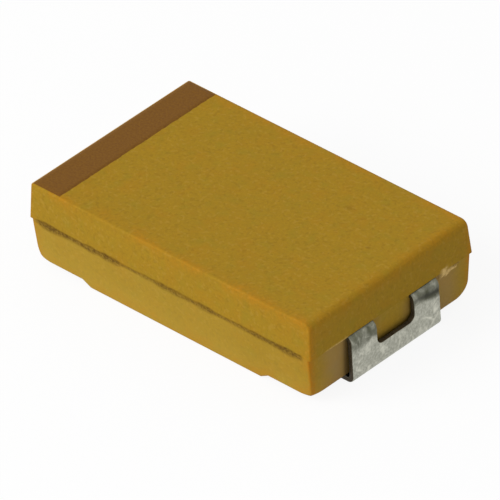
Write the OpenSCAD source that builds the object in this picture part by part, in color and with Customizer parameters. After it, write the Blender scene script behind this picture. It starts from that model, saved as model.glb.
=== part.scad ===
// Moulded chip tantalum capacitor in the EIA 7343-20 case, millimetres.
// The origin is under the middle of the part, level with the undersides of the two solder feet.
// +X points to the cathode lead, the polarity band marks the anode end at -X, and +Z is up.

/* [Case] */
// Length of the case at the parting plane
case_l = 7.05; // [6.8:0.05:7.3]
// Width of the case at the parting plane
case_w = 4.34; // [4.1:0.02:4.6]
// Height of the upper half, from the parting plane to the top face
upper_h = 0.74; // [0.7:0.02:1.2]
// Height of the lower half, from the foot recesses to the parting plane
lower_h = 0.93; // [0.85:0.01:1.2]
// Draft of the two long walls, in degrees
side_draft = 4.6; // [1:0.2:6]
// Draft of the two end walls, in degrees
end_draft = 2.4; // [1:0.2:5]
// Set-back of the lower half's long walls at the parting plane
side_step = 0.005; // [0.005:0.005:0.04]
// Set-back of the lower half's end walls at the parting plane
end_step = 0.05; // [0.01:0.005:0.06]
// Radius of the upright corners and of the plain edges
edge_r = 0.04; // [0.02:0.01:0.1]
// Radius along the top edge over the cathode lead
brow_r = 0.15; // [0.06:0.01:0.25]
// Radius along the bottom edge at both ends
heel_r = 0.08; // [0.04:0.01:0.2]

/* [Pedestal] */
// Drop from the foot recesses to the underside
pedestal_h = 0.11; // [0.04:0.01:0.11]
// Clearance between the foot of each slope and the tip of the lead's foot
toe_gap = 0.02; // [0.01:0.01:0.1]
// Length of the slope at each end of the pedestal
ramp_l = 0.2; // [0.1:0.02:0.24]

/* [Lead frame] */
// Thickness of the strip that both leads are cut from
strip_t = 0.11; // [0.1:0.01:0.15]
// Width of each lead
lead_w = 2.34; // [2:0.02:2.6]
// Inner radius of every bend
bend_r = 0.05; // [0.03:0.01:0.08]
// Clearance between the lower half's end wall and the upright of a lead
lead_gap = 0.025; // [0.005:0.005:0.05]
// Length of each foot, from the outer face of its lead to the tip
foot_l = 1.2; // [0.9:0.02:1.4]
// Clearance between a foot and the case above it
foot_gap = 0.01; // [0.005:0.005:0.04]
// Width of the window that leaves two prongs on each lead
window_w = 1; // [0.8:0.02:1.2]
// Height of the window's lower edge over the soldering plane
window_z = 0.5; // [0.4:0.01:0.7]
// Radius in the lower corners of the window
window_r = 0.15; // [0.05:0.01:0.25]
// Distance that the window reaches in past the end of the case
window_reach = 0.47; // [0.3:0.01:0.5]
// Distance from the end of the case to the riser of the cathode lead
riser_inset = 0.855; // [0.8:0.005:1]
// Length of the cathode tab that lies on the pellet
tab_l = 1.5; // [1:0.05:2.5]

/* [Anode] */
// Distance from the anode end of the case to the sintered pellet
pellet_inset = 1.775; // [1.55:0.025:2]
// Width of the pellet
pellet_w = 3.1; // [2.8:0.05:3.4]
// Thickness of the pellet
pellet_t = 0.9; // [0.84:0.02:1.1]
// Radius of the pellet's long edges
pellet_r = 0.12; // [0.05:0.01:0.2]
// Diameter of the anode wire
wire_d = 0.3; // [0.24:0.01:0.34]
// Length of wire that is pressed into the pellet
wire_seat_l = 2.2; // [1.5:0.1:3]
// Distance from the window to the end of the wire
wire_inset = 0.1; // [0.05:0.01:0.2]
// Length of the weld along the wire
weld_l = 0.6; // [0.4:0.02:0.7]
// Depth of the flat that the weld presses on the wire
weld_flat = 0.03; // [0.01:0.005:0.04]
// Diameter of the washer on the wire
washer_d = 0.8; // [0.6:0.02:0.84]
// Thickness of the washer
washer_t = 0.15; // [0.1:0.01:0.2]

/* [Cathode layers] */
// Thickness of the manganese dioxide around the pellet
dioxide_t = 0.04; // [0.03:0.005:0.05]
// Thickness of the carbon over the manganese dioxide
carbon_t = 0.02; // [0.015:0.005:0.03]
// Thickness of the silver paint over the carbon
silver_t = 0.03; // [0.02:0.005:0.04]
// Thickness of the adhesive between the silver and the cathode lead
glue_t = 0.03; // [0.02:0.005:0.04]
// Distance that the carbon stops short of the pellet's anode face
carbon_bare = 0.2; // [0.1:0.02:0.3]
// Distance that the silver stops short of the pellet's anode face
silver_bare = 0.36; // [0.32:0.02:0.6]
// Distance that the adhesive stays back from the tab's tip and sides
glue_margin = 0.1; // [0.05:0.01:0.2]

/* [Marking] */
// Length of the polarity band along the case
band_l = 0.68; // [0.4:0.02:1.2]
// Thickness of the band's ink
ink_t = 0.015; // [0.01:0.005:0.03]

/* [Hidden] */

CORNER_FN = 32;                               // facets round an upright corner
ARC_STEPS = 6;                                // steps along the round above a corner
CURVE_FN = 96;                                // exact circles and cylinders

// Levels
spare = case_w / 4;                           // overrun of every cutter
recess_z = strip_t + foot_gap;                // roof over each foot
under_z = recess_z - pedestal_h;              // underside of the pedestal
part_z = recess_z + lower_h;                  // parting plane, level with the frame's upper side
top_z = part_z + upper_h;
frame_z = part_z - strip_t;                   // underside of the lead frame

// Places along the part
half_l = case_l / 2;
wall_x = half_l - end_step;                   // end wall of the lower half at the parting plane
lead_x = wall_x + lead_gap + strip_t;         // outer face of a lead
pedestal_x = lead_x - foot_l - toe_gap - ramp_l;  // end of the flat underside
window_x = half_l - window_reach;             // inner end of a lead's window
bend_out = bend_r + strip_t;                  // outer radius of every bend

// Pellet, wire and layers
coat_t = dioxide_t + carbon_t + silver_t;
riser_x = half_l - riser_inset;               // face of the riser that the pellet is glued to
pellet_x0 = pellet_inset - half_l;            // anode face of the pellet
pellet_x1 = riser_x - glue_t - coat_t;        // far end of the pellet
wire_r = wire_d / 2;
wire_z = frame_z + weld_flat - wire_r;        // the pressed flat meets the frame's underside
wire_x0 = wire_inset - window_x;              // free end of the wire
wire_x1 = pellet_x0 + wire_seat_l;            // end of the wire inside the pellet
anode_tab_x = wire_x0 + weld_l;               // inner end of the anode lead
tab_z = wire_z + pellet_t / 2 + coat_t + glue_t;  // underside of the cathode tab
tab_x = riser_x - tab_l;                      // tip of the cathode tab

EPOXY = [0.65, 0.51, 0.17];
INK = [0.46, 0.33, 0.15];
TIN = [0.62, 0.62, 0.56];
TANTALUM = [0.42, 0.43, 0.46];
FLUOROPOLYMER = [0.93, 0.93, 0.9];
DIOXIDE = [0.16, 0.15, 0.15];
CARBON = [0.09, 0.09, 0.1];
SILVER = [0.76, 0.76, 0.74];
ADHESIVE = [0.68, 0.68, 0.65];

// ---- Small tools ----

// Extrudes a profile drawn in X and Z along Y, w wide about the middle plane.
module across(w) {
    translate([0, w / 2, 0])
        rotate([90, 0, 0])
            linear_extrude(w)
                children();
}

// Extrudes a profile drawn in Y and Z along X, from x0 to x1.
module along(x0, x1) {
    translate([x0, 0, 0])
        rotate([90, 0, 90])
            linear_extrude(x1 - x0)
                children();
}

// Rectangle with its four corners rounded, about the origin.
module rounded_rect(w, h, r) {
    square([w - 2 * r, h], center = true);
    square([w, h - 2 * r], center = true);
    for (sx = [-1, 1], sy = [-1, 1])
        translate([sx * (w / 2 - r), sy * (h / 2 - r)])
            circle(r, $fn = CURVE_FN);
}

// Quarter of a bend in the strip: a ring about c in the quadrant that side points to.
module bend(c, side) {
    translate(c)
        intersection() {
            difference() {
                circle(bend_out, $fn = CURVE_FN);
                circle(bend_r, $fn = CURVE_FN);
            }
            quadrant(side);
        }
}

// Square that covers one quadrant.
module quadrant(side) {
    translate([min(side[0], 0) * spare, min(side[1], 0) * spare])
        square(spare);
}

// ---- Moulded case ----

// Inset of a wall h above the parting plane, at a draft in degrees.
function drafted(h, draft) = h * tan(draft);

// Inset of the centre of a round of radius r between a level face at height h and the wall.
function round_inset(r, h, draft) = drafted(h - r, draft) + r / cos(draft);

// Start of an upright corner at the parting plane: a short cone that follows the draft.
module corner_foot() {
    cylinder(h = edge_r, r1 = edge_r, r2 = edge_r - drafted(edge_r, side_draft), $fn = CORNER_FN);
}

// Top of an upright corner: the round that runs from the drafted wall into the level face.
module corner_cap() {
    rotate_extrude($fn = CORNER_FN)
        polygon([
            [0, 0],
            for (i = [0:ARC_STEPS])
                let (a = end_draft + (90 - end_draft) * i / ARC_STEPS)
                edge_r * [cos(a), sin(a)]
        ]);
}

// One half of the mould's cavity, of height h, standing on the parting plane.
module mould_half(l, w, h) {
    inset_x = round_inset(edge_r, h, end_draft);
    inset_y = round_inset(edge_r, h, side_draft);
    hull()
        for (sx = [-1, 1], sy = [-1, 1]) {
            translate([sx * (l / 2 - edge_r), sy * (w / 2 - edge_r), 0])
                corner_foot();
            translate([sx * (l / 2 - inset_x), sy * (w / 2 - inset_y), h - edge_r])
                corner_cap();
        }
}

// Profile that a round of radius r takes off the corner of a level face at height h,
// in X and Z from the parting plane, for an end wall that stands at x = wall there.
module edge_waste(wall, h, r) {
    c = [wall - round_inset(r, h, end_draft), h - r];
    on_wall = c + r * [cos(end_draft), sin(end_draft)];
    difference() {
        polygon([c, on_wall, [wall + spare, on_wall[1]], [wall + spare, h + spare], [c[0], h + spare]]);
        translate(c)
            circle(r, $fn = CURVE_FN);
    }
}

// Profile of the recess that clears a foot: slope of the pedestal, roof and heel round.
module foot_recess() {
    polygon([
        [pedestal_x - ramp_l, under_z - pedestal_h],
        [pedestal_x + ramp_l, recess_z],
        [half_l + spare, recess_z],
        [half_l + spare, -spare],
        [pedestal_x - ramp_l, -spare]
    ]);
    translate([0, part_z])
        mirror([0, 1])
            edge_waste(wall_x, lower_h, heel_r);
}

// Outer form of the case.
module case_form() {
    difference() {
        union() {
            translate([0, 0, part_z])
                mould_half(case_l, case_w, upper_h);
            translate([0, 0, part_z])
                mirror([0, 0, 1])
                    mould_half(2 * wall_x, case_w - 2 * side_step, part_z - under_z);
        }
        across(case_w + spare)
            translate([0, part_z])
                edge_waste(half_l, upper_h, brow_r);
        for (side = [0, 1])
            mirror([side, 0, 0])
                across(case_w + spare)
                    foot_recess();
    }
}

module moulded_case() {
    color(EPOXY)
        difference() {
            case_form();
            coated_block();
            wire_solid();
            washer_solid();
            adhesive_solid();
            cathode_strip();
            anode_strip();
        }
}

// ---- Polarity band ----

// Ink film on the top face, from the anode-end edge inwards.
module polarity_band() {
    x0 = round_inset(edge_r, upper_h, end_draft) - half_l;
    w = case_w - 2 * round_inset(edge_r, upper_h, side_draft);
    color(INK)
        translate([x0, -w / 2, top_z])
            cube([band_l, w, ink_t]);
}

// ---- Leads ----

// Outside profile of a lead, the run through the end wall included, for the +X end.
module outside_profile(run_x) {
    translate([lead_x - foot_l, 0])
        square([foot_l - bend_out, strip_t]);
    bend([lead_x - bend_out, bend_out], [1, -1]);
    translate([lead_x - strip_t, bend_out])
        square([strip_t, part_z - 2 * bend_out]);
    bend([lead_x - bend_out, part_z - bend_out], [1, 1]);
    translate([run_x, frame_z])
        square([lead_x - bend_out - run_x, strip_t]);
}

// Riser and tab that carry the cathode lead up and over the end of the pellet.
module riser_profile() {
    bend([riser_x + bend_out, part_z + bend_r], [-1, -1]);
    translate([riser_x, part_z + bend_r])
        square([strip_t, tab_z - part_z - 2 * bend_r]);
    bend([riser_x - bend_r, tab_z - bend_r], [1, 1]);
    translate([tab_x, tab_z])
        square([riser_x - bend_r - tab_x, strip_t]);
}

// Window through the upright and the run, which leaves two prongs.
module window() {
    along(window_x, lead_x + spare) {
        translate([-window_w / 2, window_z + window_r])
            square([window_w, part_z]);
        translate([window_r - window_w / 2, window_z])
            square([window_w - 2 * window_r, window_r * 2]);
        for (side = [-1, 1])
            translate([side * (window_w / 2 - window_r), window_z + window_r])
                circle(window_r, $fn = CURVE_FN);
    }
}

module cathode_strip() {
    difference() {
        across(lead_w) {
            outside_profile(riser_x + bend_out);
            riser_profile();
        }
        window();
    }
}

module anode_strip() {
    mirror([1, 0, 0])
        difference() {
            across(lead_w)
                outside_profile(-anode_tab_x);
            window();
        }
}

module cathode_lead() {
    color(TIN)
        cathode_strip();
}

module anode_lead() {
    color(TIN)
        anode_strip();
}

// ---- Pellet and wire ----

// Pellet grown by grow on its sides and its far end, from bare past the anode face.
module pellet_block(grow, bare) {
    along(pellet_x0 + bare, pellet_x1 + grow)
        translate([0, wire_z])
            rounded_rect(pellet_w + 2 * grow, pellet_t + 2 * grow, pellet_r + grow);
}

// Wire with the flat that the weld presses under the anode lead.
module wire_solid() {
    difference() {
        translate([wire_x0, 0, wire_z])
            rotate([0, 90, 0])
                cylinder(h = wire_x1 - wire_x0, r = wire_r, $fn = CURVE_FN);
        translate([wire_x0 - spare, -wire_d, frame_z])
            cube([weld_l + spare, 2 * wire_d, wire_d]);
    }
}

module washer_disc() {
    translate([pellet_x0 - washer_t, 0, wire_z])
        rotate([0, 90, 0])
            cylinder(h = washer_t, d = washer_d, $fn = CURVE_FN);
}

module washer_solid() {
    difference() {
        washer_disc();
        wire_solid();
    }
}

module tantalum_pellet() {
    color(TANTALUM)
        difference() {
            pellet_block(0, 0);
            wire_solid();
        }
}

module anode_wire() {
    color(TANTALUM)
        wire_solid();
}

module wire_washer() {
    color(FLUOROPOLYMER)
        washer_solid();
}

// ---- Cathode layers ----

// Pellet with all of its layers, as one form.
module coated_block() {
    pellet_block(dioxide_t, -dioxide_t);
    pellet_block(dioxide_t + carbon_t, carbon_bare);
    pellet_block(coat_t, silver_bare);
}

// The dioxide covers the anode face too, round the washer.
module manganese_dioxide_layer() {
    color(DIOXIDE)
        difference() {
            pellet_block(dioxide_t, -dioxide_t);
            pellet_block(0, 0);
            washer_disc();
        }
}

module carbon_layer() {
    color(CARBON)
        difference() {
            pellet_block(dioxide_t + carbon_t, carbon_bare);
            pellet_block(dioxide_t, -dioxide_t);
        }
}

module silver_layer() {
    color(SILVER)
        difference() {
            pellet_block(coat_t, silver_bare);
            pellet_block(dioxide_t + carbon_t, carbon_bare);
        }
}

// Adhesive that fills the angle between the coated pellet and the cathode lead.
module adhesive_solid() {
    x0 = tab_x + glue_margin;
    z0 = part_z + bend_r;
    stack_x = pellet_x1 + coat_t;
    stack_z = tab_z - glue_t;
    across(lead_w - 2 * glue_margin)
        difference() {
            union() {
                translate([x0, stack_z])
                    square([riser_x - bend_r - x0, glue_t]);
                translate([stack_x, z0])
                    square([glue_t, tab_z - bend_r - z0]);
                intersection() {
                    translate([riser_x - bend_r, tab_z - bend_r])
                        circle(bend_r, $fn = CURVE_FN);
                    translate([riser_x - bend_r, tab_z - bend_r])
                        square(bend_r);
                }
            }
            translate([x0, 0])
                square([stack_x - x0, stack_z]);
        }
}

module silver_adhesive() {
    color(ADHESIVE)
        adhesive_solid();
}

moulded_case();
polarity_band();
cathode_lead();
anode_lead();
tantalum_pellet();
anode_wire();
wire_washer();
manganese_dioxide_layer();
carbon_layer();
silver_layer();
silver_adhesive();
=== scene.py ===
"""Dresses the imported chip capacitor: moulded case, printed band, tinned leads and the layers inside.

Sizes are in millimetres until a mesh is finished, and only then in metres, as the frame is.
"""

import logging
import math
from dataclasses import dataclass, field
from enum import Enum

import bmesh
import bpy
import numpy as np
from mathutils import Matrix, Vector


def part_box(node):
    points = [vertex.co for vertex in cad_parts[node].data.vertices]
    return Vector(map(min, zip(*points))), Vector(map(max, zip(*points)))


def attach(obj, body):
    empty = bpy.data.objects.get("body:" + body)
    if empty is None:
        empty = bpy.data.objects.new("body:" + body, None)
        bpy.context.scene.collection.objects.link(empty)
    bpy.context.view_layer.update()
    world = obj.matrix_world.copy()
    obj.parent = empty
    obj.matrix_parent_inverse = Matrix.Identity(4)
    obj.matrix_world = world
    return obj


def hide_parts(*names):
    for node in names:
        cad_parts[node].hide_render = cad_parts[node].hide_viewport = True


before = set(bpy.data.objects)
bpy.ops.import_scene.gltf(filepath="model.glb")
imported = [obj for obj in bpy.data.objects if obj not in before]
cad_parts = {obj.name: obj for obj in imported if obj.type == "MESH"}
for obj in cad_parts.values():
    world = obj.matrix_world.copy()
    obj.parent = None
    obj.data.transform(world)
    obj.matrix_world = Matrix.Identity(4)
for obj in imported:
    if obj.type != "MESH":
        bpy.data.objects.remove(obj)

LOG = logging.getLogger("chip_capacitor")
Array = np.ndarray
BODY = "root"
MM = 0.001
TINY = 1e-6  # Slack of a comparison, in millimetres.
HASH = (73856093, 19349663, 83492791, 2654435761, 1274126177)  # Large odd numbers that mix bits.
SET_BACK = 0.0035  # Keeps the crests of a wavy face inside the plain form, in millimetres.


# ---- Small tools ----


def linear(colour: str) -> tuple[float, float, float, float]:
    """Turns an sRGB hex colour into linear light.

    Args:
        colour: "#rrggbb".

    Returns:
        Red, green, blue and an alpha of 1.
    """
    parts = [int(colour[i:i + 2], 16) / 255 for i in (1, 3, 5)]
    return (*[c / 12.92 if c <= 0.04045 else ((c + 0.055) / 1.055) ** 2.4 for c in parts], 1.0)


def add_node(tree: bpy.types.NodeTree, kind: str, inputs: dict | None = None,
             **settings: object) -> bpy.types.Node:
    """Adds one node to a tree.

    Args:
        tree: Tree that gets the node.
        kind: Type name of the node.
        inputs: Input name or number to a value, or to the socket that is linked there.
        settings: Properties of the node itself.

    Returns:
        The new node.
    """
    made = tree.nodes.new(kind)
    for name, value in settings.items():
        setattr(made, name, value)
    for key, value in (inputs or {}).items():
        if isinstance(value, bpy.types.NodeSocket):
            tree.links.new(value, made.inputs[key])
        else:
            made.inputs[key].default_value = value
    return made


def cells(size_mm: float) -> float:
    """Scale of a pattern in Object coordinates whose cells are size_mm across."""
    return 1 / (size_mm * MM)


def smooth_step(low: float, high: float, value: Array) -> Array:
    """Rises from 0 at low to 1 at high along the cubic 3t^2 - 2t^3, with level ends."""
    t = np.clip((value - low) / (high - low), 0, 1)
    return t * t * (3 - 2 * t)


def bell(value: Array, width: float) -> Array:
    """Gaussian bump exp(-(value / width)^2), 1 in the middle."""
    return np.exp(-(value / width) ** 2)


def value_noise(points: Array, cell: float | tuple[float, float, float], seed: int) -> Array:
    """Smooth noise between -1 and 1.

    Every corner of a cubic lattice has a random value from a hash of its three whole
    coordinates, and a point blends the eight corners round it with cubic weights.

    Args:
        points: Points, one row each, in millimetres.
        cell: Size of a lattice cell, one number or one for each axis.
        seed: Number that picks the pattern.

    Returns:
        One value for each point.
    """
    where = points / np.asarray(cell, float)
    low = np.floor(where).astype(np.int64)
    t = where - low
    t = t * t * (3 - 2 * t)
    total = np.zeros(len(points))
    for corner in range(8):
        step = np.array([corner & 1, corner >> 1 & 1, corner >> 2 & 1])
        i = low + step
        mixed = i[:, 0] * HASH[0] ^ i[:, 1] * HASH[1] ^ i[:, 2] * HASH[2] ^ seed * HASH[3]
        mixed = (mixed ^ mixed >> 13) * HASH[4] & 0xFFFFFFFF
        mixed = (mixed ^ mixed >> 16) & 0xFFFF
        weight = np.where(step, t, 1 - t).prod(1)
        total += weight * (mixed / 32767.5 - 1)
    return total


def spread(marks: list[float], steps: list[float]) -> Array:
    """Lines from the first mark to the last, through every mark.

    Args:
        marks: Places that get a line, in rising order.
        steps: Widest spacing allowed between each mark and the next.

    Returns:
        The places of all lines.
    """
    runs = [np.linspace(a, b, max(1, math.ceil((b - a) / s - TINY)) + 1)[:-1]
            for a, b, s in zip(marks, marks[1:], steps)]
    return np.concatenate([*runs, marks[-1:]])


def both_ways(half: Array) -> Array:
    """Mirrors lines that start at 0 to the negative side."""
    return np.concatenate([-half[:0:-1], half])


def grid_faces(number: Array) -> Array:
    """Four-cornered faces of a grid of vertex numbers, one row each."""
    corners_of = [number[:-1, :-1], number[1:, :-1], number[1:, 1:], number[:-1, 1:]]
    return np.stack(corners_of, -1).reshape(-1, 4)


def mark(piece: bpy.types.Object, name: str, values: Array) -> None:
    """Stores one value for each vertex of a piece under a name that its finish reads."""
    stored = piece.data.attributes.new(name, "FLOAT", "POINT")
    stored.data.foreach_set("value", values.astype(np.float32))


def new_piece(name: str, points: Array, faces: Array,
              marks: dict[str, Array] | None = None) -> bpy.types.Object:
    """Puts a numpy surface into a new mesh object, still in millimetres.

    Args:
        name: Name of the object and its mesh.
        points: Vertices, one row each.
        faces: Four vertex numbers in each row.
        marks: Point attributes by name, one value for each vertex.

    Returns:
        The object, linked to the scene.
    """
    mesh = bpy.data.meshes.new(name)
    mesh.from_pydata(points.tolist(), [], faces.tolist())
    piece = bpy.data.objects.new(name, mesh)
    bpy.context.scene.collection.objects.link(piece)
    for label, values in (marks or {}).items():
        mark(piece, label, values)
    return piece


def settle(piece: bpy.types.Object, crease: float) -> None:
    """Applies a piece's modifiers, turns its faces outwards, shades it and brings it to metres.

    Args:
        piece: Piece in millimetres.
        crease: Angle in degrees past which an edge is shaded sharp.
    """
    bpy.context.view_layer.update()
    graph = bpy.context.evaluated_depsgraph_get()
    mesh = bpy.data.meshes.new_from_object(
        piece.evaluated_get(graph), preserve_all_data_layers=True, depsgraph=graph)
    piece.modifiers.clear()
    piece.data = mesh
    work = bmesh.new()
    work.from_mesh(mesh)
    bmesh.ops.recalc_face_normals(work, faces=work.faces)
    work.to_mesh(mesh)
    work.free()
    mesh.shade_smooth()
    mesh.set_sharp_from_angle(angle=math.radians(crease))
    mesh.transform(Matrix.Scale(MM, 4))
    mesh.update()


def positions(piece: bpy.types.Object) -> Array:
    """Places of a finished piece's vertices, in millimetres."""
    flat = np.zeros(len(piece.data.vertices) * 3, np.float32)
    piece.data.vertices.foreach_get("co", flat)
    return flat.reshape(-1, 3).astype(float) / MM


def report(piece: bpy.types.Object) -> None:
    """Logs a piece's name and triangle count."""
    triangles = sum(len(p.vertices) - 2 for p in piece.data.polygons)
    LOG.info("%s: %d triangles", piece.name, triangles)


# ---- Finishes ----


@dataclass(frozen=True)
class Finish:
    """What every finish here shares: a name, its colours, and its gloss.

    Attributes:
        name: Name of the material.
        dark, middle, light: Colours of the surface's grain.
        rough: Mean roughness.
        gloss: Level of the dielectric reflection, 0.5 for plain plastic.
        metal: 1 for a metal.
        grain: Size of one grain of the pattern, in millimetres.
        bump: Height of the grain, in millimetres.
        swing: How far the roughness strays to either side of its mean.
    """

    name: str
    dark: str
    middle: str
    light: str
    rough: float = 0.6
    gloss: float = 0.25
    metal: float = 0.0
    grain: float = 0.05
    bump: float = 0.002
    swing: float = 0.06

    def start(self) -> tuple[bpy.types.Material, bpy.types.NodeSocket, bpy.types.NodeSocket]:
        """Makes the material with its grain, colour ramp, roughness and bump.

        Returns:
            The material, its Object coordinates, and the ramp's colour, over which a
            finish may lay further tones.
        """
        material = bpy.data.materials.new(self.name)
        material.use_nodes = True
        tree = material.node_tree
        shader = tree.nodes["Principled BSDF"]
        place = add_node(tree, "ShaderNodeTexCoord")
        grain = add_node(tree, "ShaderNodeTexNoise", {
            "Vector": place.outputs["Object"], "Scale": cells(self.grain), "Detail": 3.0, "Roughness": 0.6})
        ramp = add_node(tree, "ShaderNodeValToRGB", {"Fac": grain.outputs["Fac"]})
        stops = ramp.color_ramp.elements
        stops[0].position, stops[0].color = 0.32, linear(self.dark)
        stops[1].position, stops[1].color = 0.68, linear(self.light)
        stops.new(0.5).color = linear(self.middle)
        uneven = add_node(tree, "ShaderNodeMapRange", {
            "Value": grain.outputs["Fac"], "From Min": 0.3, "From Max": 0.7,
            "To Min": self.rough - self.swing, "To Max": self.rough + self.swing})
        relief = add_node(tree, "ShaderNodeBump", {
            "Height": grain.outputs["Fac"], "Strength": 1.0, "Distance": self.bump * MM})
        shader.inputs["Metallic"].default_value = self.metal
        shader.inputs["Specular IOR Level"].default_value = self.gloss
        tree.links.new(ramp.outputs["Color"], shader.inputs["Base Color"])
        tree.links.new(uneven.outputs["Result"], shader.inputs["Roughness"])
        tree.links.new(relief.outputs["Normal"], shader.inputs["Normal"])
        return material, place.outputs["Object"], ramp.outputs["Color"]

    def cover(self, tree: bpy.types.NodeTree, colour: bpy.types.NodeSocket,
              layers: list[tuple[bpy.types.NodeSocket, str]]) -> None:
        """Lays tones over a colour, first to last, and gives the result to the shader.

        Args:
            tree: Tree of the material.
            colour: Colour underneath.
            layers: How much of each tone shows, and the tone in sRGB hex.
        """
        for amount, tone in layers:
            colour = add_node(tree, "ShaderNodeMix", {0: amount, 6: colour, 7: linear(tone)},
                              data_type="RGBA").outputs[2]
        tree.links.new(colour, tree.nodes["Principled BSDF"].inputs["Base Color"])

    def make(self) -> bpy.types.Material:
        """Makes the plain form of the finish.

        Returns:
            The material.
        """
        return self.start()[0]


@dataclass(frozen=True)
class MouldedEpoxy(Finish):
    """Silica-filled epoxy, transfer-moulded in a spark-eroded mould.

    The mould leaves a dull, even skin with a fine speckle. The warmer, lighter tone along
    the edges is a painted highlight, for light that passes through thin resin and catches
    the rounds. Resin that broke off at the parting line is dark and rough, and its band
    also carries painted shade under the upper half's rim. The real speckle is finer than
    the pattern, which is drawn as coarse as it needs to be to show.

    Attributes:
        edge: Painted highlight along the edges, a warm, lighter tone.
        scar_and_shade, flash_and_highlight: Tones of broken resin and grime, deepened by
        painted shade under the rim, and of pale resin that squeezed out of the mould,
        lifted by a painted highlight.
        stain, shade: Tone of the deposit beside the leads, and painted shade in the gaps next to them.
        painted_bounce: Painted bounce light, a paler tone that the lower half leans to.
        crumb: Size of the crumbs that break up scars, flash and edges, in millimetres.
        clouds: Patches of other tones, each with its size in millimetres, its detail, the
            noise values at which it starts and is full, its share and its tone.
        sheen, sheen_rough, sheen_tone: Soft glow at glancing angles.
    """

    # Painted highlight: the warm, lighter tone laid along the edges.
    edge: str = "#be7a12"
    # Broken resin and grime at the parting line, with painted shade under the rim.
    scar_and_shade: str = "#674a0e"
    # Pale resin flash, lifted by a painted highlight where the ledge catches light.
    flash_and_highlight: str = "#e2c07a"
    stain: str = "#a58758"
    # Painted shade in the gaps beside the leads and under the window's edge.
    shade: str = "#43341f"
    # Painted bounce light: the paler tone of the lower half.
    painted_bounce: str = "#c9ab46"
    crumb: float = 0.05
    clouds: tuple[tuple[float, float, float, float, float, str], ...] = (
        (0.9, 2.0, 0.35, 0.75, 0.3, "#9a7c1e"),
        (0.4, 2.0, 0.48, 0.75, 0.3, "#ad7816"),
        (0.3, 1.0, 0.52, 0.75, 0.3, "#8f8022"),
        (0.075, 0.0, 0.64, 0.72, 0.22, "#bb9640"),
        (0.08, 0.0, 0.36, 0.29, 0.2, "#7d6012"))
    sheen: float = 0.1
    sheen_rough: float = 0.35
    sheen_tone: str = "#ffd23c"

    def make(self) -> bpy.types.Material:
        """Makes the finish with its clouds and with the marks stored on the mesh.

        Returns:
            The material.
        """
        material, place, colour = self.start()
        tree = material.node_tree
        layers = []
        for size, detail, low, high, share, tone in self.clouds:
            cloud = add_node(tree, "ShaderNodeTexNoise", {
                "Vector": place, "Scale": cells(size), "Detail": detail})
            patch = add_node(tree, "ShaderNodeMapRange", {
                "Value": cloud.outputs["Fac"], "From Min": low, "From Max": high, "To Max": share})
            layers.append((patch.outputs["Result"], tone))
        crumbs = add_node(tree, "ShaderNodeTexNoise", {
            "Vector": place, "Scale": cells(self.crumb), "Detail": 2.0})
        broken = add_node(tree, "ShaderNodeMapRange", {
            "Value": crumbs.outputs["Fac"], "From Min": 0.36, "From Max": 0.62,
            "To Min": 0.62, "To Max": 1.25})
        for label in ("painted_bounce", "edge", "stain", "shade", "scar_and_shade", "flash_and_highlight"):
            amount = add_node(tree, "ShaderNodeAttribute", attribute_name=label).outputs["Fac"]
            if label in ("scar_and_shade", "flash_and_highlight", "edge"):
                amount = add_node(tree, "ShaderNodeMath", {0: amount, 1: broken.outputs["Result"]},
                                  operation="MULTIPLY", use_clamp=True).outputs[0]
            layers.append((amount, getattr(self, label)))
        self.cover(tree, colour, layers)
        shader = tree.nodes["Principled BSDF"]
        shader.inputs["Sheen Weight"].default_value = self.sheen
        shader.inputs["Sheen Roughness"].default_value = self.sheen_rough
        shader.inputs["Sheen Tint"].default_value = linear(self.sheen_tone)
        return material


@dataclass(frozen=True)
class MatteTin(Finish):
    """Electroplated matte tin over nickel-iron strip.

    The plating is a mosaic of dull and brighter patches. Across the upper bend it is
    darker, partly plating dulled by stretching and partly a painted reflection, and the
    crease and the hidden faces carry painted shade. The crystals of the tin are finer
    than the pattern, which is drawn as coarse as it needs to be to show.

    Attributes:
        patch: Size of a patch, in millimetres.
        bright: Tone of the brighter patches.
        dulled_bend_and_reflection: Tone of the upper bend, partly dulled plating and
        partly a painted reflection.
        crease: Painted shade in the dent across each prong and on the faces that no light reaches.
    """

    patch: float = 0.16
    bright: str = "#d6d5c6"
    # Darker upper bend: partly dulled plating, partly a painted reflection.
    dulled_bend_and_reflection: str = "#5a5b4b"
    # Painted shade in the dent and on the faces that no light reaches.
    crease: str = "#232318"

    def make(self) -> bpy.types.Material:
        """Makes the finish with its patches, darker bends and painted shade.

        Returns:
            The material.
        """
        material, place, colour = self.start()
        tree = material.node_tree
        broad = add_node(tree, "ShaderNodeTexNoise", {
            "Vector": place, "Scale": cells(self.patch), "Detail": 4.0, "Distortion": 0.6})
        bright = add_node(tree, "ShaderNodeMapRange", {
            "Value": broad.outputs["Fac"], "From Min": 0.5, "From Max": 0.72, "To Max": 0.7})
        uneven = add_node(tree, "ShaderNodeMapRange", {
            "Value": broad.outputs["Fac"], "From Min": 0.4, "From Max": 0.68,
            "To Min": 1.1, "To Max": 0.62})
        # Darker upper bend: partly dulled plating, partly a painted reflection.
        bend = add_node(tree, "ShaderNodeAttribute", attribute_name="bend")
        bend_and_reflection_share = add_node(tree, "ShaderNodeMath", {0: bend.outputs["Fac"], 1: uneven.outputs["Result"]},
                        operation="MULTIPLY", use_clamp=True)
        # Painted shade in the dent and on the hidden faces.
        crease = add_node(tree, "ShaderNodeAttribute", attribute_name="crease")
        self.cover(tree, colour, [(bright.outputs["Result"], self.bright), (bend_and_reflection_share.outputs[0], self.dulled_bend_and_reflection),
                                  (crease.outputs["Fac"], self.crease)])
        return material


# ---- Moulded case ----


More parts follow.
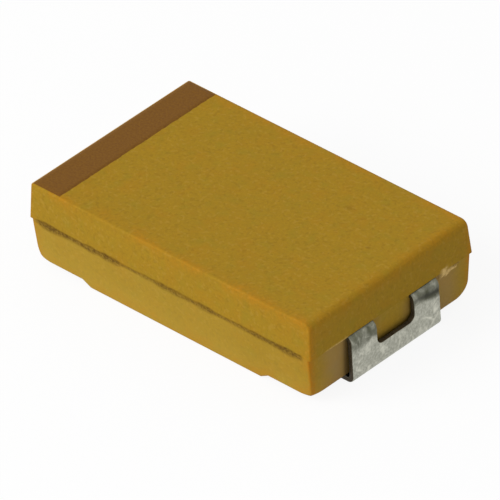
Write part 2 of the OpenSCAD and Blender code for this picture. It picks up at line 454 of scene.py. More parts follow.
@dataclass
class MouldedCase:
    """Epoxy case in two drafted halves that meet at the parting plane.

    Attributes:
        half_l, half_w, top_z: Extent of the case, from the frame.
        part_z: Parting plane.
        under_z, recess_z: Underside of the pedestal and roof of the foot recesses.
        pedestal_x, ramp_l: End of the flat underside and length of its slope.
        side_draft, end_draft: Draft of the walls in degrees.
        side_step, end_step: Set-back of the lower half at the parting plane.
        edge_r, brow_r, heel_r: Rounds of the plain edges, of the top edge over the
            cathode lead, and of the bottom edge at both ends.
        corner_cut, corner_r: How far the bottom corners at -Y and at +Y are drawn in
            towards the middle, and the distance over which that fades.
        scuffs: Dull marks on the top face, each with its place in X and Y, its size and
            how dark it is.
        lead_half: Half width of the leads, beside which the wall is stained.
        scar_depth: How deep the broken resin is.
        scar_ends: Places in X between which the scar starts, and between which it ends.
        swells: Heavier stretches of the scar, each with its place in X, its reach and its
            share.
        flash_out: How far the flash stands out.
        lumps: Thick places of the flash, each with its place and reach in Y, its place and
            reach in height, and its share.
        step, close, heel_step, fine: Spacing of the surface's lines in general, at the
            rounds, at the bottom edge and at the parting plane.
        fine_up, fine_down: How far the finest lines reach above and below that plane.
    """

    half_l: float
    half_w: float
    top_z: float
    part_z: float = 1.05
    under_z: float = 0.01
    recess_z: float = 0.12
    pedestal_x: float = 2.19
    ramp_l: float = 0.2
    side_draft: float = 4.6
    end_draft: float = 2.4
    side_step: float = 0.005
    end_step: float = 0.05
    edge_r: float = 0.04
    brow_r: float = 0.15
    heel_r: float = 0.08
    corner_cut: tuple[float, float] = (0.055, 0.11)
    corner_r: float = 0.34
    scuffs: tuple[tuple[float, float, float, float], ...] = (
        (1.57, 1.02, 0.09, 0.35), (2.67, 0.34, 0.05, 0.5))
    lead_half: float = 1.17
    scar_depth: float = 0.008
    scar_ends: tuple[float, float, float, float] = (-3.48, -3.3, 3.26, 3.36)
    swells: tuple[tuple[float, float, float], ...] = ((-2.45, 0.95, 0.5), (2.3, 1.0, 0.4))
    flash_out: float = 0.015
    lumps: tuple[tuple[float, float, float, float, float], ...] = (
        (1.4, 0.15, -0.03, 0.11, 1.0), (-1.24, 0.06, 0.0, 0.06, 0.6), (1.68, 0.16, -0.06, 0.035, 0.75))
    step: float = 0.036
    close: float = 0.028
    heel_step: float = 0.02
    fine: float = 0.014
    fine_up: float = 0.1
    fine_down: float = 0.22

    def zone(self, end: float) -> Array:
        """Lines over the last edge_r before end, at equal angles of the round.

        Args:
            end: Place of the outer face.

        Returns:
            Three places, end included. Each is end - r + r tan(angle), up to 45 degrees.
        """
        angle = np.radians(45) * np.arange(1, 4) / 3
        return end - self.edge_r + self.edge_r * np.tan(angle)

    def rounded(self, x: Array, y: Array, h: Array, a: float, b: float, height: float,
                plus_r: float, minus_r: float) -> Array:
        """Rounds a box that stands on the parting plane.

        A point of the box's surface goes to the nearest point of a smaller core, and from
        there outwards by edge_r. The core's section across Y has its upper corners rounded
        too, by plus_r and minus_r less edge_r, so that those edges end with larger rounds.

        Args:
            x, y, h: Points on the box, h measured from the parting plane.
            a, b, height: Half length, half width and height of the box.
            plus_r, minus_r: Rounds of the far edge at +X and at -X.

        Returns:
            The rounded points, one row each.
        """
        r = self.edge_r
        core_x = np.clip(x, r - a, a - r)
        core_h = np.minimum(h, height - r)
        for side, big in ((1, plus_r), (-1, minus_r)):
            dx, dh = side * x - (a - big), h - (height - big)
            reach = np.hypot(dx, dh)
            inside = (dx > 0) & (dh > 0) & (reach > 0)
            scale = (big - r) / np.where(inside, reach, 1)
            core_x = np.where(inside, side * (a - big + dx * scale), core_x)
            core_h = np.where(inside, height - big + dh * scale, core_h)
        core = np.stack([core_x, np.clip(y, r - b, b - r), core_h], 1)
        away = np.stack([x, y, h], 1) - core
        return core + r * away / np.linalg.norm(away, axis=1)[:, None]

    def drop(self, x: Array) -> Array:
        """Depth of the pedestal below the recess roof: full in the middle, a straight slope at each end."""
        slope = (self.pedestal_x + self.ramp_l - np.abs(x)) / self.ramp_l
        return (self.recess_z - self.under_z) * np.clip(slope, 0, 1)

    def lattice(self) -> tuple[Array, Array, Array, Array]:
        """Surface of a box lattice with a double line at the parting plane.

        Returns:
            Lattice place of each vertex on each axis, whether it belongs to the upper
            half, and the faces. The third axis counts from the parting plane, upwards
            for the upper half and downwards for the lower.
        """
        a, b = self.half_l, self.half_w
        up, down = self.top_z - self.part_z, self.part_z - self.recess_z
        foot, ramp = self.pedestal_x, self.pedestal_x + self.ramp_l
        xs = both_ways(np.concatenate([
            spread([0, foot, ramp, a - self.brow_r, a - self.edge_r],
                   [self.step, self.step, self.step, self.close]), self.zone(a)]))
        ys = both_ways(np.concatenate([spread([0, b - self.edge_r], [1.4 * self.step]), self.zone(b)]))
        upper = np.concatenate([
            spread([0, self.fine_up, up - self.brow_r, up - self.edge_r],
                   [self.fine, self.step, self.close]), self.zone(up)])
        lower = np.concatenate([
            spread([0, self.fine_down, down - self.heel_r, down - self.edge_r],
                   [self.fine, self.step, self.heel_step]), self.zone(down)])
        hs = np.concatenate([lower[::-1], upper])
        is_upper = np.arange(len(hs)) >= len(lower)
        shape = (len(xs), len(ys), len(hs))
        shell = np.ones(shape, bool)
        shell[1:-1, 1:-1, 1:-1] = False
        number = np.full(shape, -1)
        number[shell] = np.arange(shell.sum())
        faces = np.concatenate([
            grid_faces(number[-1]), grid_faces(number[0])[:, ::-1],
            grid_faces(number[:, -1])[:, ::-1], grid_faces(number[:, 0]),
            grid_faces(number[:, :, -1]), grid_faces(number[:, :, 0])[:, ::-1]])
        i, j, k = np.nonzero(shell)
        return np.stack([xs[i], ys[j], hs[k]], 1), is_upper[k], faces

    def form(self) -> tuple[Array, Array, Array, Array]:
        """Works out the smooth surface of the case.

        A box lattice is rounded, and its walls lean in by the depth from the parting plane
        times the tangent of the draft. Each bottom corner is drawn in by corner_cut times
        the product of (1 - reach / corner_r) ** 2 over the three axes.

        Returns:
            Points, faces, the warmth of the edges, and each point's lattice place with 1
            for the upper half and 0 for the lower.
        """
        q, upper, faces = self.lattice()
        up, down = self.top_z - self.part_z, self.part_z - self.recess_z
        small = self.edge_r
        p = np.where(
            upper[:, None],
            self.rounded(*q.T, self.half_l, self.half_w, up, self.brow_r, small),
            self.rounded(*q.T, self.half_l, self.half_w, down, self.heel_r, self.heel_r))
        depth = p[:, 2] + np.where(upper, 0, self.drop(p[:, 0]) * np.clip(p[:, 2] / (down - small), 0, 1))
        end = np.where(upper, 0, self.end_step) + depth * math.tan(math.radians(self.end_draft))
        side = np.where(upper, 0, self.side_step) + depth * math.tan(math.radians(self.side_draft))
        placed = np.stack([
            p[:, 0] * (1 - end / self.half_l), p[:, 1] * (1 - side / self.half_w),
            self.part_z + np.where(upper, depth, -depth)], 1)
        reach = np.stack([
            self.half_l - np.abs(q[:, 0]), self.half_w - np.abs(q[:, 1]),
            np.where(upper, up, down) - q[:, 2]], 1)
        cut = np.where(placed[:, 1] < 0, *self.corner_cut) * np.where(upper, 0, 1)
        cut = cut * (np.clip(1 - reach / self.corner_r, 0, 1) ** 2).prod(1)
        placed -= cut[:, None] * np.sign(placed * [1, 1, 0] - [0, 0, 1]) / math.sqrt(3)
        return placed, faces, self.edge_highlight(placed, q, upper, reach), np.column_stack([q, upper])

    def edge_highlight(self, at: Array, q: Array, upper: Array, reach: Array) -> Array:
        """Share of the painted highlight along the edges.

        It is a bell of the distance to the nearest edge times noise of two sizes, weaker
        on the brow, and along the upright edges a stronger bell that noise hardly changes.

        Args:
            at: Points of the surface.
            q: Their lattice places.
            upper: Whether each belongs to the upper half.
            reach: Their distances from the three nearest outer faces.

        Returns:
            The share of the warm tone at each point.
        """
        near_edge = np.sort(reach, 1)[:, 1]
        brow = upper & (q[:, 0] > 0) & (np.argmax(-reach, 1) != 1) & (reach[:, 1] > near_edge + TINY)
        highlight = 0.45 + 0.5 * value_noise(at, (0.55, 0.3, 0.3), 5) + 0.3 * value_noise(at, 0.13, 6)
        # Painted highlight on the rounded upright edges, stronger on the lower half.
        upright = bell(reach[:, 0], 0.05) * bell(reach[:, 1], 0.13) * np.where(upper, 0.6, 0.85)
        edge = bell(near_edge, 0.18) * np.clip(0.5 * highlight, 0.03, 0.5) * np.where(brow, 0.7, 1)
        return np.maximum(edge, upright * (0.7 + 0.3 * highlight))

    def scars_and_shade(self, at: Array, q: Array) -> tuple[Array, Array]:
        """Broken resin and grime along the parting line of the long walls, with painted shade.

        The scar is a band that starts just above the parting plane and ends below it. Its
        width and strength swell near both ends of the wall and vary by noise along X, and
        its floor is roughened by noise of 0.13 by 0.045 mm. Only the part below the plane
        goes inwards.

        Args:
            at: Points of the surface.
            q: Their lattice places.

        Returns:
            How far each point goes inwards along Y, and how dark it is, painted shade included.
        """
        wall = np.abs(q[:, 1]) > self.half_w - TINY
        h = self.part_z - at[:, 2]
        x = at[:, 0]
        run = np.column_stack([x, np.sign(at[:, 1]) * 7, 0 * x])
        start, full, wane, end = self.scar_ends
        tail = smooth_step(start, full, x) * (1 - smooth_step(wane, end, x))
        weight = 0.5 + 0.2 * value_noise(run, 0.5, 11)
        for place, reach, share in self.swells:
            weight = weight + share * bell(x - place, reach)
        chips = value_noise(run, 0.2, 12) + 0.5 * value_noise(run, 0.08, 14)
        width = 0.07 + 0.07 * np.clip(weight, 0.1, 1.2) + 0.028 * chips
        lower_rim = 1 - smooth_step(0.65, 1.1, h / width)
        upper_rim = smooth_step(-0.06, -0.015, h + 0.018 * chips)
        band = lower_rim * upper_rim * wall * tail
        crumbs = 0.5 + 0.5 * value_noise(at, (0.13, 0.13, 0.045), 13)
        strength = np.clip(weight, 0.25, 1.1)
        # Darkest just under the parting plane: painted shade under the upper half's rim.
        core = 0.6 + 0.4 * (1 - smooth_step(0.3, 0.8, h / width))
        dark = np.clip(band * core * (0.5 + 0.5 * strength) * (0.62 + 0.5 * crumbs), 0, 1)
        return band * strength * crumbs * self.scar_depth * (h > 0), dark

    def seams_and_highlight(self, at: Array, q: Array) -> tuple[Array, Array]:
        """Thin flash along the parting line of the end walls, thicker beside the leads.

        It is a narrow bell of the height over the parting plane, with rounder lumps beside
        the lead whose outline is a threshold of bells and fine noise.

        Args:
            at: Points of the surface.
            q: Their lattice places.

        Returns:
            How far each point goes outwards along X, and how light it is, painted highlight included.
        """
        wall = np.abs(q[:, 0]) > self.half_l - TINY
        signed = np.where(q[:, 3] > 0.5, 1, -1) * q[:, 2]
        y = at[:, 1] * np.sign(at[:, 0])
        along = np.column_stack([np.sign(at[:, 0]) * 5, y, 0 * y])
        ragged = value_noise(along + signed[:, None] * np.array([0, 0, 1]), 0.055, 21)
        thin = smooth_step(-1.9, -1.6, y) * (1 - smooth_step(-1.2, -1.16, y)) * bell(signed, 0.02) * 0.75
        lump = 0.3 * ragged
        for place, wide, height, tall, share in self.lumps:
            lump = lump + share * bell(y - place, wide) * bell(signed - height, tall)
        blob = smooth_step(0.3, 0.75, lump)
        amount = np.clip(thin * (0.8 + 0.3 * ragged) + blob, 0, 1) * wall
        out = np.where(q[:, 3] > 0.5, self.flash_out, self.flash_out + self.end_step)
        return amount * out, amount * (0.8 + 0.2 * ragged)

    def stains(self, at: Array, q: Array) -> dict[str, Array]:
        """Deposit and painted shade on the lower end walls, next to the leads and in their windows.

        The deposit is full beside the lead and fades within 0.85 mm, with bells in the
        window, all roughened by noise. The painted shade lies in narrow bells in the gaps
        along the lead's side and along the window's lower edge.

        Args:
            at: Points of the surface.
            q: Their lattice places.

        Returns:
            The shares of the stain and of the painted shade at each point.
        """
        away = np.abs(at[:, 1]) - self.lead_half
        lower_end = (q[:, 3] < 0.5) & (np.abs(q[:, 0]) > self.half_l - TINY)
        y, z = at[:, 1] * np.sign(at[:, 0]), at[:, 2]
        beside = smooth_step(-0.12, 0.0, away) * (1 - smooth_step(0.25, 0.85, away)) * 0.75
        window = 0.5 * bell(y - 0.46, 0.16) * bell(z - 0.72, 0.22) + 0.3 * bell(y + 0.42, 0.15) * (z > 0.5)
        uneven = 0.85 + 0.25 * value_noise(at, (0.3, 0.18, 0.18), 33)
        # Painted shade in the gap beside each lead and along the window's lower edge.
        left = bell(away - 0.01, 0.07) * np.where(y < 0, 0.7, 0.2)
        foot = 0.6 * bell(z - 0.46, 0.11) * (np.abs(y) < 0.56)
        return {"stain": (beside + window) * lower_end * uneven, "shade": np.maximum(left, foot) * lower_end}

    def painted_bounce_share(self, at: Array, q: Array) -> Array:
        """How much paler the lower half is painted, as painted bounce light.

        It is greater towards the anode end and the bottom edge, and it wanders by noise of
        0.7 mm.

        Args:
            at: Points of the surface.
            q: Their lattice places.

        Returns:
            The share of the painted bounce light at each point.
        """
        low = 1 - smooth_step(0, 0.55, at[:, 2] - self.recess_z)
        share = 0.2 - 0.02 * np.clip(at[:, 0], -3, 3) + 0.16 * low + 0.05 * value_noise(at, 0.7, 34)
        return np.where(q[:, 3] < 0.5, share, 0)

    def relief(self, at: Array) -> Array:
        """Unevenness of the top face: noise of 0.8 and 0.2 mm less the set-back, and never above 0."""
        waves = 0.0022 * value_noise(at, 0.8, 31) + 0.0012 * value_noise(at, 0.2, 32)
        return np.minimum(waves - SET_BACK, 0)

    def build(self) -> bpy.types.Object:
        """Builds the case with its scars, seams and relief.

        Returns:
            The finished piece, in metres.
        """
        at, faces, highlight, q = self.form()
        inwards, dark = self.scars_and_shade(at, q)
        outwards, light = self.seams_and_highlight(at, q)
        flat = np.abs(q[:, 2] - (self.top_z - self.part_z)) < TINY
        for x, y, size, depth in self.scuffs:
            dark = np.maximum(dark, depth * flat * bell(at[:, 0] - x, size) * bell(at[:, 1] - y, 0.6 * size))
        moved = at.copy()
        moved[:, 1] -= np.sign(at[:, 1]) * inwards
        moved[:, 0] += np.sign(at[:, 0]) * outwards
        moved[:, 2] += np.where(flat & (q[:, 3] > 0.5), self.relief(at), 0)
        marks = {"edge": highlight, "scar_and_shade": dark, "flash_and_highlight": light, "painted_bounce": self.painted_bounce_share(at, q)}
        marks |= self.stains(at, q)
        piece = new_piece("epoxy_case", moved, faces, marks)
        settle(piece, 40)
        return piece

    def dress(self, piece: bpy.types.Object, finish: Finish) -> None:
        """Gives the case its finish and its place in the frame."""
        piece.data.materials.append(finish.make())
        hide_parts("moulded_case")
        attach(piece, BODY)
        report(piece)


# ---- Polarity band ----


@dataclass
class PolarityBand:
    """Ink film printed on the top face at the anode end.

    Attributes:
        low, high: Corners of the film, from the frame.
        ragged: How far the printed edge strays.
        rim: Distances of the first lines from the edge.
        lip_w, lip_share: Width of the thinning rim and its share of the film's thickness.
        sunk: How far the film's underside lies in the epoxy.
        step: Spacing of the surface's lines.
    """

    low: Array
    high: Array
    ragged: float = 0.008
    rim: tuple[float, float, float] = (0, 0.004, 0.012)
    lip_w: float = 0.05
    lip_share: float = 0.06
    sunk: float = 0.002
    step: float = 0.03

    def build(self, case: MouldedCase) -> bpy.types.Object:
        """Builds the film as a closed sheet that follows the top face.

        The sheet's thickness rises from lip_share of the film's own to all of it over
        lip_w, and its inner edge strays by noise along Y.

        Args:
            case: Case that the film lies on.

        Returns:
            The finished piece, in metres.
        """
        (x0, y0, z0), (x1, y1, z1) = self.low, self.high
        rim, step = np.array(self.rim), self.step
        u, v = np.meshgrid(*[
            np.concatenate([a + rim, spread([a + step, b - step], [step]), b - rim[::-1]])
            for a, b in ((x0, x1), (y0, y1))], indexing="ij")
        flat = np.column_stack([u.ravel(), v.ravel(), np.full(u.size, z0)])
        inside = np.minimum.reduce([flat[:, 0] - x0, x1 - flat[:, 0], flat[:, 1] - y0, y1 - flat[:, 1]])
        lip = self.lip_share + (1 - self.lip_share) * smooth_step(0, self.lip_w, inside)
        stray = value_noise(np.column_stack([0 * v.ravel(), v.ravel(), 0 * v.ravel()]), 0.06, 41)
        stray = self.ragged * (stray - 1) * smooth_step(x0 + 0.3, x1, flat[:, 0])
        sheet = flat + np.column_stack([stray, 0 * stray, case.relief(flat)])
        upper, lower = sheet.copy(), sheet.copy()
        upper[:, 2] += (z1 - z0) * lip
        lower[:, 2] -= self.sunk
        n = np.arange(u.size).reshape(u.shape)
        top = grid_faces(n)
        ring = np.concatenate([n[:-1, 0], n[-1, :-1], n[:0:-1, -1], n[0, :0:-1]])
        ahead = np.roll(ring, -1)
        wall = np.stack([ring + u.size, ahead + u.size, ahead, ring], 1)
        faces = np.concatenate([top, top[:, ::-1] + u.size, wall])
        piece = new_piece("band_film", np.concatenate([upper, lower]), faces)
        settle(piece, 50)
        return piece

    def dress(self, piece: bpy.types.Object, finish: Finish) -> None:
        """Gives the band its finish and its place in the frame."""
        piece.data.materials.append(finish.make())
        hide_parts("polarity_band")
        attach(piece, BODY)
        report(piece)


# ---- Leads ----


class End(Enum):
    """The two ends of the part, with the direction along X and the CAD node of each."""

    CATHODE = (1, "cathode_lead")
    ANODE = (-1, "anode_lead")

    @property
    def side(self) -> int:
        """Direction along X."""
        return self.value[0]

    @property
    def node(self) -> str:
        """Name of the CAD node."""
        return self.value[1]


@dataclass
class Stretch:
    """One straight or bent stretch of a strip's middle line, in X and Z.

    Attributes:
        start: First point of a straight stretch, or the centre of a bend.
        turn: Heading of a straight stretch in degrees, or the first angle of a bend.
        length: Length along the middle line.
        radius: Radius of a bend, signed by its sense, or 0 for a straight stretch.
    """

    start: tuple[float, float]
    turn: float
    length: float
    radius: float = 0.0

    def follow(self, s: Array) -> tuple[Array, Array]:
        """Points and outer normals at distances s along the stretch.

        A straight stretch is start + s heading. A bend is centre + radius (cos, sin) of
        an angle that grows by s / radius, anticlockwise for a positive radius.

        Args:
            s: Distances from the start of the stretch.

        Returns:
            Points, then unit normals on the right-hand side of the heading, one row each.
        """
        if not self.radius:
            heading = math.radians(self.turn)
            ahead = np.array([math.cos(heading), math.sin(heading)])
            return np.array(self.start) + s[:, None] * ahead, np.tile([ahead[1], -ahead[0]], (len(s), 1))
        angle = math.radians(self.turn) + s / self.radius
        spoke = np.stack([np.cos(angle), np.sin(angle)], 1)
        return np.array(self.start) + abs(self.radius) * spoke, spoke * np.sign(self.radius)


@dataclass
class Lead:
    """Stamped and folded lead with a window that leaves two prongs.

    Attributes:
        end: Which lead it is.
        outer_x: Place of its outer face, from the frame.
        width: Width of the strip, from the frame.
        thick: Thickness of the strip.
        inner_r: Inner radius of every bend.
        foot_l: Length of the foot.
        part_z: Parting plane, level with the strip's upper side inside the case.
        window_w, window_z, window_x, window_r: Width, lower edge, inner end and corner
            radius of the window.
        anode_tab_x: Inner end of the anode lead's tab.
        riser_x, tab_z, tab_x: Face of the cathode lead's riser, and underside and tip of
            its tab.
        fade_l: Distance over which the lattice round the window's corners straightens.
        prong_y: Middle of a prong.
        tilt: Slope of the crease across its prong.
        dent_s, dent_w, dent_depth: Place of the dent before the end of the outer bend, its
            half width and its depth.
        shear_r: Round along every sheared edge.
        step: Spacing of the surface's lines.
    """

    end: End
    outer_x: float
    width: float
    thick: float = 0.11
    inner_r: float = 0.05
    foot_l: float = 1.2
    part_z: float = 1.05
    window_w: float = 1.0
    window_z: float = 0.5
    window_x: float = 3.055
    window_r: float = 0.15
    anode_tab_x: float = 2.355
    riser_x: float = 2.67
    tab_z: float = 1.39
    tab_x: float = 1.17
    fade_l: float = 0.25
    prong_y: float = 0.875
    tilt: float = 0.17
    dent_s: float = 0.22
    dent_w: float = 0.07
    dent_depth: float = 0.01
    shear_r: float = 0.01
    step: float = 0.03

    def path(self) -> list[Stretch]:
        """Middle line from the tip of the foot to the far end inside the case."""
        half, r = self.thick / 2, self.inner_r + self.thick / 2
        out = self.inner_r + self.thick
        quarter = r * math.pi / 2
        x, top = self.outer_x, self.part_z
        line = [
            Stretch((x - self.foot_l, half), 0, self.foot_l - out),
            Stretch((x - out, out), -90, quarter, r),
            Stretch((x - half, out), 90, top - 2 * out),
            Stretch((x - out, top - out), 0, quarter, r)]
        run_x = self.riser_x + out if self.end is End.CATHODE else self.anode_tab_x
        line.append(Stretch((x - out, top - half), 180, x - out - run_x))
        if self.end is End.CATHODE:
            line += [
                Stretch((run_x, top + self.inner_r), -90, quarter, -r),
                Stretch((self.riser_x + half, top + self.inner_r), 90, self.tab_z - top - 2 * self.inner_r),
                Stretch((self.riser_x - self.inner_r, self.tab_z - self.inner_r), 0, quarter, r),
                Stretch((self.riser_x - self.inner_r, self.tab_z + half), 180,
                        self.riser_x - self.inner_r - self.tab_x)]
        return line

    def fold(self, line: list[Stretch], s: Array, y: Array, lift: Array) -> Array:
        """Carries points of the flat blank onto the folded strip.

        Args:
            line: Middle line of the strip.
            s, y: Places on the blank, along and across it.
            lift: Distance from the middle of the sheet towards its outer side.

        Returns:
            Points in space, one row each.
        """
        starts = np.cumsum([0] + [part.length for part in line])
        which = np.clip(np.searchsorted(starts, s, "right") - 1, 0, len(line) - 1)
        made = np.zeros((len(s), 3))
        for i, part in enumerate(line):
            here = which == i
            point, normal = part.follow(s[here] - starts[i])
            flat = point + normal * lift[here, None]
            made[here] = np.column_stack([flat[:, 0], y[here], flat[:, 1]])
        return made

    def blank(self, line: list[Stretch]) -> tuple[Array, Array, Array]:
        """Lattice of the flat blank, with the window's lower corners rounded.

        Points near a sharp corner of the window follow the corner's own shift onto its
        arc, less and less over fade_l.

        Args:
            line: Middle line of the strip.

        Returns:
            Places along and across, on a grid, and which cells of the grid are metal.
        """
        starts = np.cumsum([0] + [part.length for part in line])
        low = starts[2] + self.window_z - (self.inner_r + self.thick)
        high = starts[4] + self.outer_x - (self.inner_r + self.thick) - self.window_x
        half, r = self.window_w / 2, self.window_r
        bend = self.inner_r * math.pi / 2 / 5
        marks = [0, starts[1], starts[2], low, low + r, starts[3], starts[4], high, starts[5], *starts[6:]]
        steps = [self.step, bend, self.step, self.step, self.step, bend, self.step, 0.08, *[0.06] * 4]
        s = spread(marks, steps[:len(marks) - 1])
        y = both_ways(spread([0, half - r, half, self.width / 2], [self.step] * 3))
        grid_s, grid_y = (g.copy() for g in np.meshgrid(s, y, indexing="ij"))
        metal = ~((s[:-1, None] + s[1:, None] > 2 * low) & (s[:-1, None] + s[1:, None] < 2 * high)
                  & (np.abs(y[None, :-1] + y[None, 1:]) < 2 * half))
        foot_y, foot_s = np.clip(grid_y, -half, half), np.maximum(grid_s, low)
        centre_y, centre_s = np.sign(grid_y) * (half - r), low + r
        dy, ds = foot_y - centre_y, foot_s - centre_s
        corner = (np.abs(foot_y) >= half - r) & (foot_s <= low + r)
        reach = np.hypot(dy, ds)
        pull = np.where(corner & (reach > 0), r / np.where(reach > 0, reach, 1) - 1, 0)
        far = np.hypot(grid_y - foot_y, grid_s - foot_s)
        on_rim = (far > 0) | (np.abs(grid_y) >= half - TINY) | (grid_s <= low + TINY)
        fade = np.clip(1 - far / self.fade_l, 0, 1) * on_rim
        return grid_s + ds * pull * fade, grid_y + dy * pull * fade, metal

    def build(self) -> bpy.types.Object:
        """Builds the folded lead.

        The blank's two sides are folded round the middle line, joined along every cut
        edge, and bevelled there. The outer side has waves of noise and one dent, a bell
        across a prong.

        Returns:
            The finished piece, in metres.
        """
        line = self.path()
        s, y, metal = self.blank(line)
        flat_s, flat_y = s.ravel(), y.ravel()
        space = np.column_stack([flat_s, flat_y, 0 * flat_s])
        wave = 0.0025 * value_noise(space, 0.35, 51) + 0.001 * value_noise(space, 0.09, 52)
        seen = smooth_step(self.foot_l, self.foot_l + 0.1, flat_s)
        dent = sum(part.length for part in line[:4]) - self.dent_s
        groove = bell(flat_s - dent + self.tilt * (flat_y - self.prong_y), self.dent_w)
        groove = groove * (flat_y * self.end.side > 0.45)
        lift = self.thick / 2 - SET_BACK * seen + wave * seen - self.dent_depth * groove
        outer = self.fold(line, flat_s, flat_y, lift)
        inner = self.fold(line, flat_s, flat_y, np.full(s.size, -self.thick / 2))
        n = np.arange(s.size).reshape(s.shape)
        top = np.stack([n[:-1, :-1], n[:-1, 1:], n[1:, 1:], n[1:, :-1]], -1)[metal]
        wide = np.pad(metal, 1)
        rims = []
        for di, dj, a, b in ((0, 1, (0, 1), (1, 1)), (0, -1, (1, 0), (0, 0)), (1, 0, (1, 1), (1, 0)),
                             (-1, 0, (0, 0), (0, 1))):
            open_side = metal & ~wide[1 + di:wide.shape[0] - 1 + di, 1 + dj:wide.shape[1] - 1 + dj]
            i, j = np.nonzero(open_side)
            first, second = n[i + a[0], j + a[1]], n[i + b[0], j + b[1]]
            rims.append(np.stack([first, first + s.size, second + s.size, second], 1))
        rim = np.concatenate(rims)
        faces = np.concatenate([top, top[:, ::-1] + s.size, rim])
        used, faces = np.unique(faces, return_inverse=True)
        points = np.concatenate([outer, inner])[used]
        if self.end is End.ANODE:
            points[:, 0] *= -1
        piece = new_piece(f"{self.end.node}_strip", points, faces.reshape(-1, 4))
        sheared = np.zeros(len(piece.data.polygons), np.int32)
        sheared[-len(rim):] = 1
        piece.data.polygons.foreach_set("material_index", sheared)
        for _ in range(2):
            piece.data.materials.append(None)
        bevel = piece.modifiers.new("shear", "BEVEL")
        bevel.width = self.shear_r
        bevel.segments = 2
        bevel.limit_method = "ANGLE"
        bevel.angle_limit = math.radians(50)
        bevel.use_clamp_overlap = False
        bevel.material = 0
        settle(piece, 45)
        return piece

    def dress(self, piece: bpy.types.Object, plated: bpy.types.Material,
              sheared: bpy.types.Material) -> None:
        """Marks the darker bends and the painted shade, and gives the lead its finishes and its place.

        Above a line across each prong the metal carries the bend mark, with a soft step: a
        darker band, partly dulled plating and partly a painted reflection. The crease is a
        bell of painted shade just above that line, and the inner faces, which no light
        reaches, are marked with it as painted shade too.

        Args:
            piece: The finished lead.
            plated: Finish of the rolled faces.
            sheared: Finish of the cut edges.
        """
        at = positions(piece)
        high = at[:, 2]
        y = at[:, 1] * self.end.side
        uneven = value_noise(at, (0.2, 0.12, 0.2), 61)
        top = self.part_z
        line = np.where(y > 0, top - 0.31 - self.tilt * (y - self.prong_y), top - 0.3)
        soft = np.where(y > 0, 0.09, 0.1 + 0.15 * smooth_step(-0.75, -1.05, y))
        # Darker band at the upper bend: partly dulled plating, partly a painted reflection.
        bend = smooth_step(-0.5, 0.5, (high - line + 0.02 * uneven) / soft) * (0.82 + 0.18 * uneven)
        # Painted shade in the dent across each prong.
        crease = bell(high - line - 0.11, 0.05 + 0.03 * smooth_step(0.5, 1.0, y)) * smooth_step(0.5, 0.53, y)
        crease = crease * (0.45 + 0.4 * smooth_step(0.5, 0.85, y)) * (0.9 + 0.1 * uneven)
        # Painted shade on the inner faces, which no light reaches.
        skin = 0.95 * self.thick
        inner = (np.abs(at[:, 0]) < self.outer_x - skin) & (high > skin) & (high < top - 0.2)
        crease = np.maximum(crease, 0.97 * inner)
        mark(piece, "bend", np.clip(bend, 0, 1))
        mark(piece, "crease", np.clip(crease, 0, 1))
        piece.data.materials[0] = plated
        piece.data.materials[1] = sheared
        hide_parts(self.end.node)
        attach(piece, BODY)
        report(piece)


# ---- Layers inside ----


@dataclass
class InnerParts:
    """Finishes for the pieces inside the case, whose CAD shapes stay as they are.

    The pellet is pressed from powder and dull with an open grain, and the drawn wire is
    smooth and bright. The washer is white and waxy, the dioxide black and granular, the
    carbon black and dull, and both silver coats are satin.
    """

    finishes: dict[str, Finish] = field(default_factory=lambda: {
        "tantalum_pellet": Finish(
            "sintered_tantalum", "#5a5b60", "#6b6d74", "#83858b", 0.7, 0.3, 0.6, 0.04, 0.006),
        "anode_wire": Finish(
            "drawn_tantalum", "#6f7076", "#7d7f86", "#8f9198", 0.35, 0.5, 1.0, 0.03, 0.0005),
        "wire_washer": Finish(
            "fluoropolymer", "#e2e2dc", "#edede6", "#f4f4ef", 0.45, 0.35, 0.0, 0.06, 0.0008),
        "manganese_dioxide_layer": Finish(
            "manganese_dioxide", "#1e1c1c", "#292626", "#383434", 0.85, 0.2, 0.0, 0.03, 0.004),
        "carbon_layer": Finish(
            "graphite_coat", "#121214", "#18181a", "#242428", 0.75, 0.3, 0.0, 0.03, 0.002),
        "silver_layer": Finish(
            "silver_paint", "#aeaea9", "#c2c2bd", "#d6d6d1", 0.5, 0.5, 0.7, 0.025, 0.002),
        "silver_adhesive": Finish(
            "silver_adhesive", "#9c9c96", "#adada6", "#c4c4bc", 0.6, 0.5, 0.6, 0.05, 0.004),
    })

    def dress(self) -> None:
        """Gives each inner node its finish."""
        for name, finish in self.finishes.items():
            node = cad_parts[name]
            node.data.materials.clear()
            node.data.materials.append(finish.make())
            report(node)


# ---- Studio ----


def seen_rays(tree: bpy.types.NodeTree) -> bpy.types.NodeSocket:
    """Gives 1 for camera, mirror and see-through rays, and 0 for the rays that light the part."""
    ray = add_node(tree, "ShaderNodeLightPath")
    seen = ray.outputs["Is Camera Ray"]
    for kind in ("Is Glossy Ray", "Is Transmission Ray"):
        either = add_node(tree, "ShaderNodeMath", {0: seen, 1: ray.outputs[kind]}, operation="MAXIMUM")
        seen = either.outputs[0]
    return seen


